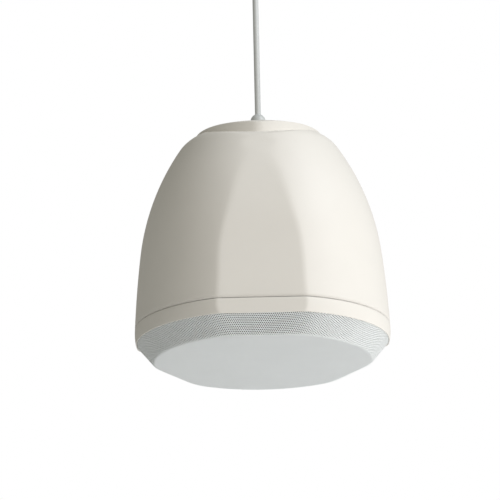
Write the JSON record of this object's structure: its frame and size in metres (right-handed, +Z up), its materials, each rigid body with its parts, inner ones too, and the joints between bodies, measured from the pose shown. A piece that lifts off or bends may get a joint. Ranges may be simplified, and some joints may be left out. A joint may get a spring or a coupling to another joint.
{
  "type": "pendant speaker",
  "caption": "Bell-shaped pendant loudspeaker with shallow facets, a domed cable gland and a perforated grille below, hung on its own cable from a ceiling cup.",
  "frame": {"origin": "middle of the ceiling plate's top face, between its two screw holes", "axes": "+Z up out of the ceiling plate, +Y through one screw hole; a facet looks along -Y"},
  "size_m": [0.306, 0.2959, 0.5275],
  "materials": {
    "shell_plastic": "moulded ABS, fine matte texture, warm off-white",
    "grille_paint": "perforated steel, light grey powder coat",
    "gland_nylon": "light grey polyamide, satin",
    "cable_jacket": "white PVC jacket, satin",
    "black_plastic": "black ABS, matte",
    "gasket_foam": "closed-cell foam, black",
    "scrim_cloth": "acoustic cloth, black",
    "wadding": "polyester wadding, white",
    "zinc_steel": "zinc plated",
    "black_steel": "black electrocoat",
    "ferrite": "sintered ferrite, dark grey",
    "cone_pulp": "coated pulp cone, matte black",
    "black_rubber": "butyl rubber, matte",
    "spider_cloth": "resin-set cotton, ochre",
    "copper_wire": "enamelled copper",
    "dome_silk": "coated silk, dark grey",
    "circuit_board": "glass-epoxy with solder mask",
    "film_capacitor": "dipped film, satin red",
    "cement": "ceramic body, white",
    "lamination": "varnished laminations",
    "winding_tape": "polyester tape, yellow",
    "crimp_metal": "crimped aluminium",
    "lead_jacket": "PVC lead, red and black"
  },
  "bodies": {
    "frame": {"enclosure_shell": "shell_plastic", "front_bezel": "shell_plastic", "top_lid": "shell_plastic", "ceiling_cup": "shell_plastic", "front_grille": "grille_paint", "gland_body": "gland_nylon", "gland_nut": "gland_nylon", "gland_locknut": "gland_nylon", "cord_grip": "gland_nylon", "grip_nut": "gland_nylon", "cable": "cable_jacket", "front_baffle": "black_plastic", "port_tubes": "black_plastic", "tap_switch": "black_plastic", "terminal_block": "black_plastic", "tweeter_faceplate": "black_plastic", "driver_terminals": "black_plastic", "baffle_gasket": "gasket_foam", "driver_gasket": "gasket_foam", "grille_scrim": "scrim_cloth", "damping_lining": "wadding", "bezel_screws": "zinc_steel", "driver_screws": "black_steel", "board_screws": "zinc_steel", "transformer_screws": "zinc_steel", "suspension_screws": "zinc_steel", "lid_screws": "zinc_steel", "cup_screws": "zinc_steel", "suspension_plate": "zinc_steel", "ceiling_plate": "zinc_steel", "transformer_strap": "zinc_steel", "magnet_top_plate": "zinc_steel", "magnet_back_plate": "zinc_steel", "tweeter_post": "zinc_steel", "tweeter_yoke": "black_steel", "tweeter_pole_plate": "zinc_steel", "driver_basket": "black_steel", "magnet_ring": "ferrite", "tweeter_magnet": "ferrite", "woofer_surround": "black_rubber", "gland_seal": "black_rubber", "roof_grommet": "black_rubber", "woofer_spider": "spider_cloth", "tweeter_surround": "dome_silk", "crossover_board": "circuit_board", "crossover_inductor": "copper_wire", "crossover_capacitors": "film_capacitor", "crossover_resistor": "cement", "transformer_core": "lamination", "transformer_winding": "winding_tape", "cable_ferrule": "crimp_metal", "ceiling_ferrule": "crimp_metal", "driver_leads": "lead_jacket", "input_lead": "lead_jacket"},
    "woofer_diaphragm": {"woofer_cone": "cone_pulp", "voice_coil": "copper_wire"},
    "tweeter_diaphragm": {"tweeter_dome": "dome_silk"},
    "tap_selector": {"tap_knob": "black_plastic"}
  },
  "joints": [
    {"name": "woofer_travel", "type": "slide", "parent": "frame", "child": "woofer_diaphragm", "axis": [0, 0, 1], "range_m": [-0.004, 0.004], "stiffness_N_per_m": 1500, "deforming": ["woofer_surround", "woofer_spider"]},
    {"name": "tweeter_travel", "type": "slide", "parent": "frame", "child": "tweeter_diaphragm", "axis": [0, 0, 1], "range_m": [-0.0004, 0.0004], "stiffness_N_per_m": 1500, "deforming": ["tweeter_surround"]},
    {"name": "tap_turn", "type": "hinge", "parent": "frame", "child": "tap_selector", "pos_m": [0, 0.108, -0.4898], "axis": [0, 0, 1], "range_deg": [0, 150]}
  ]
}
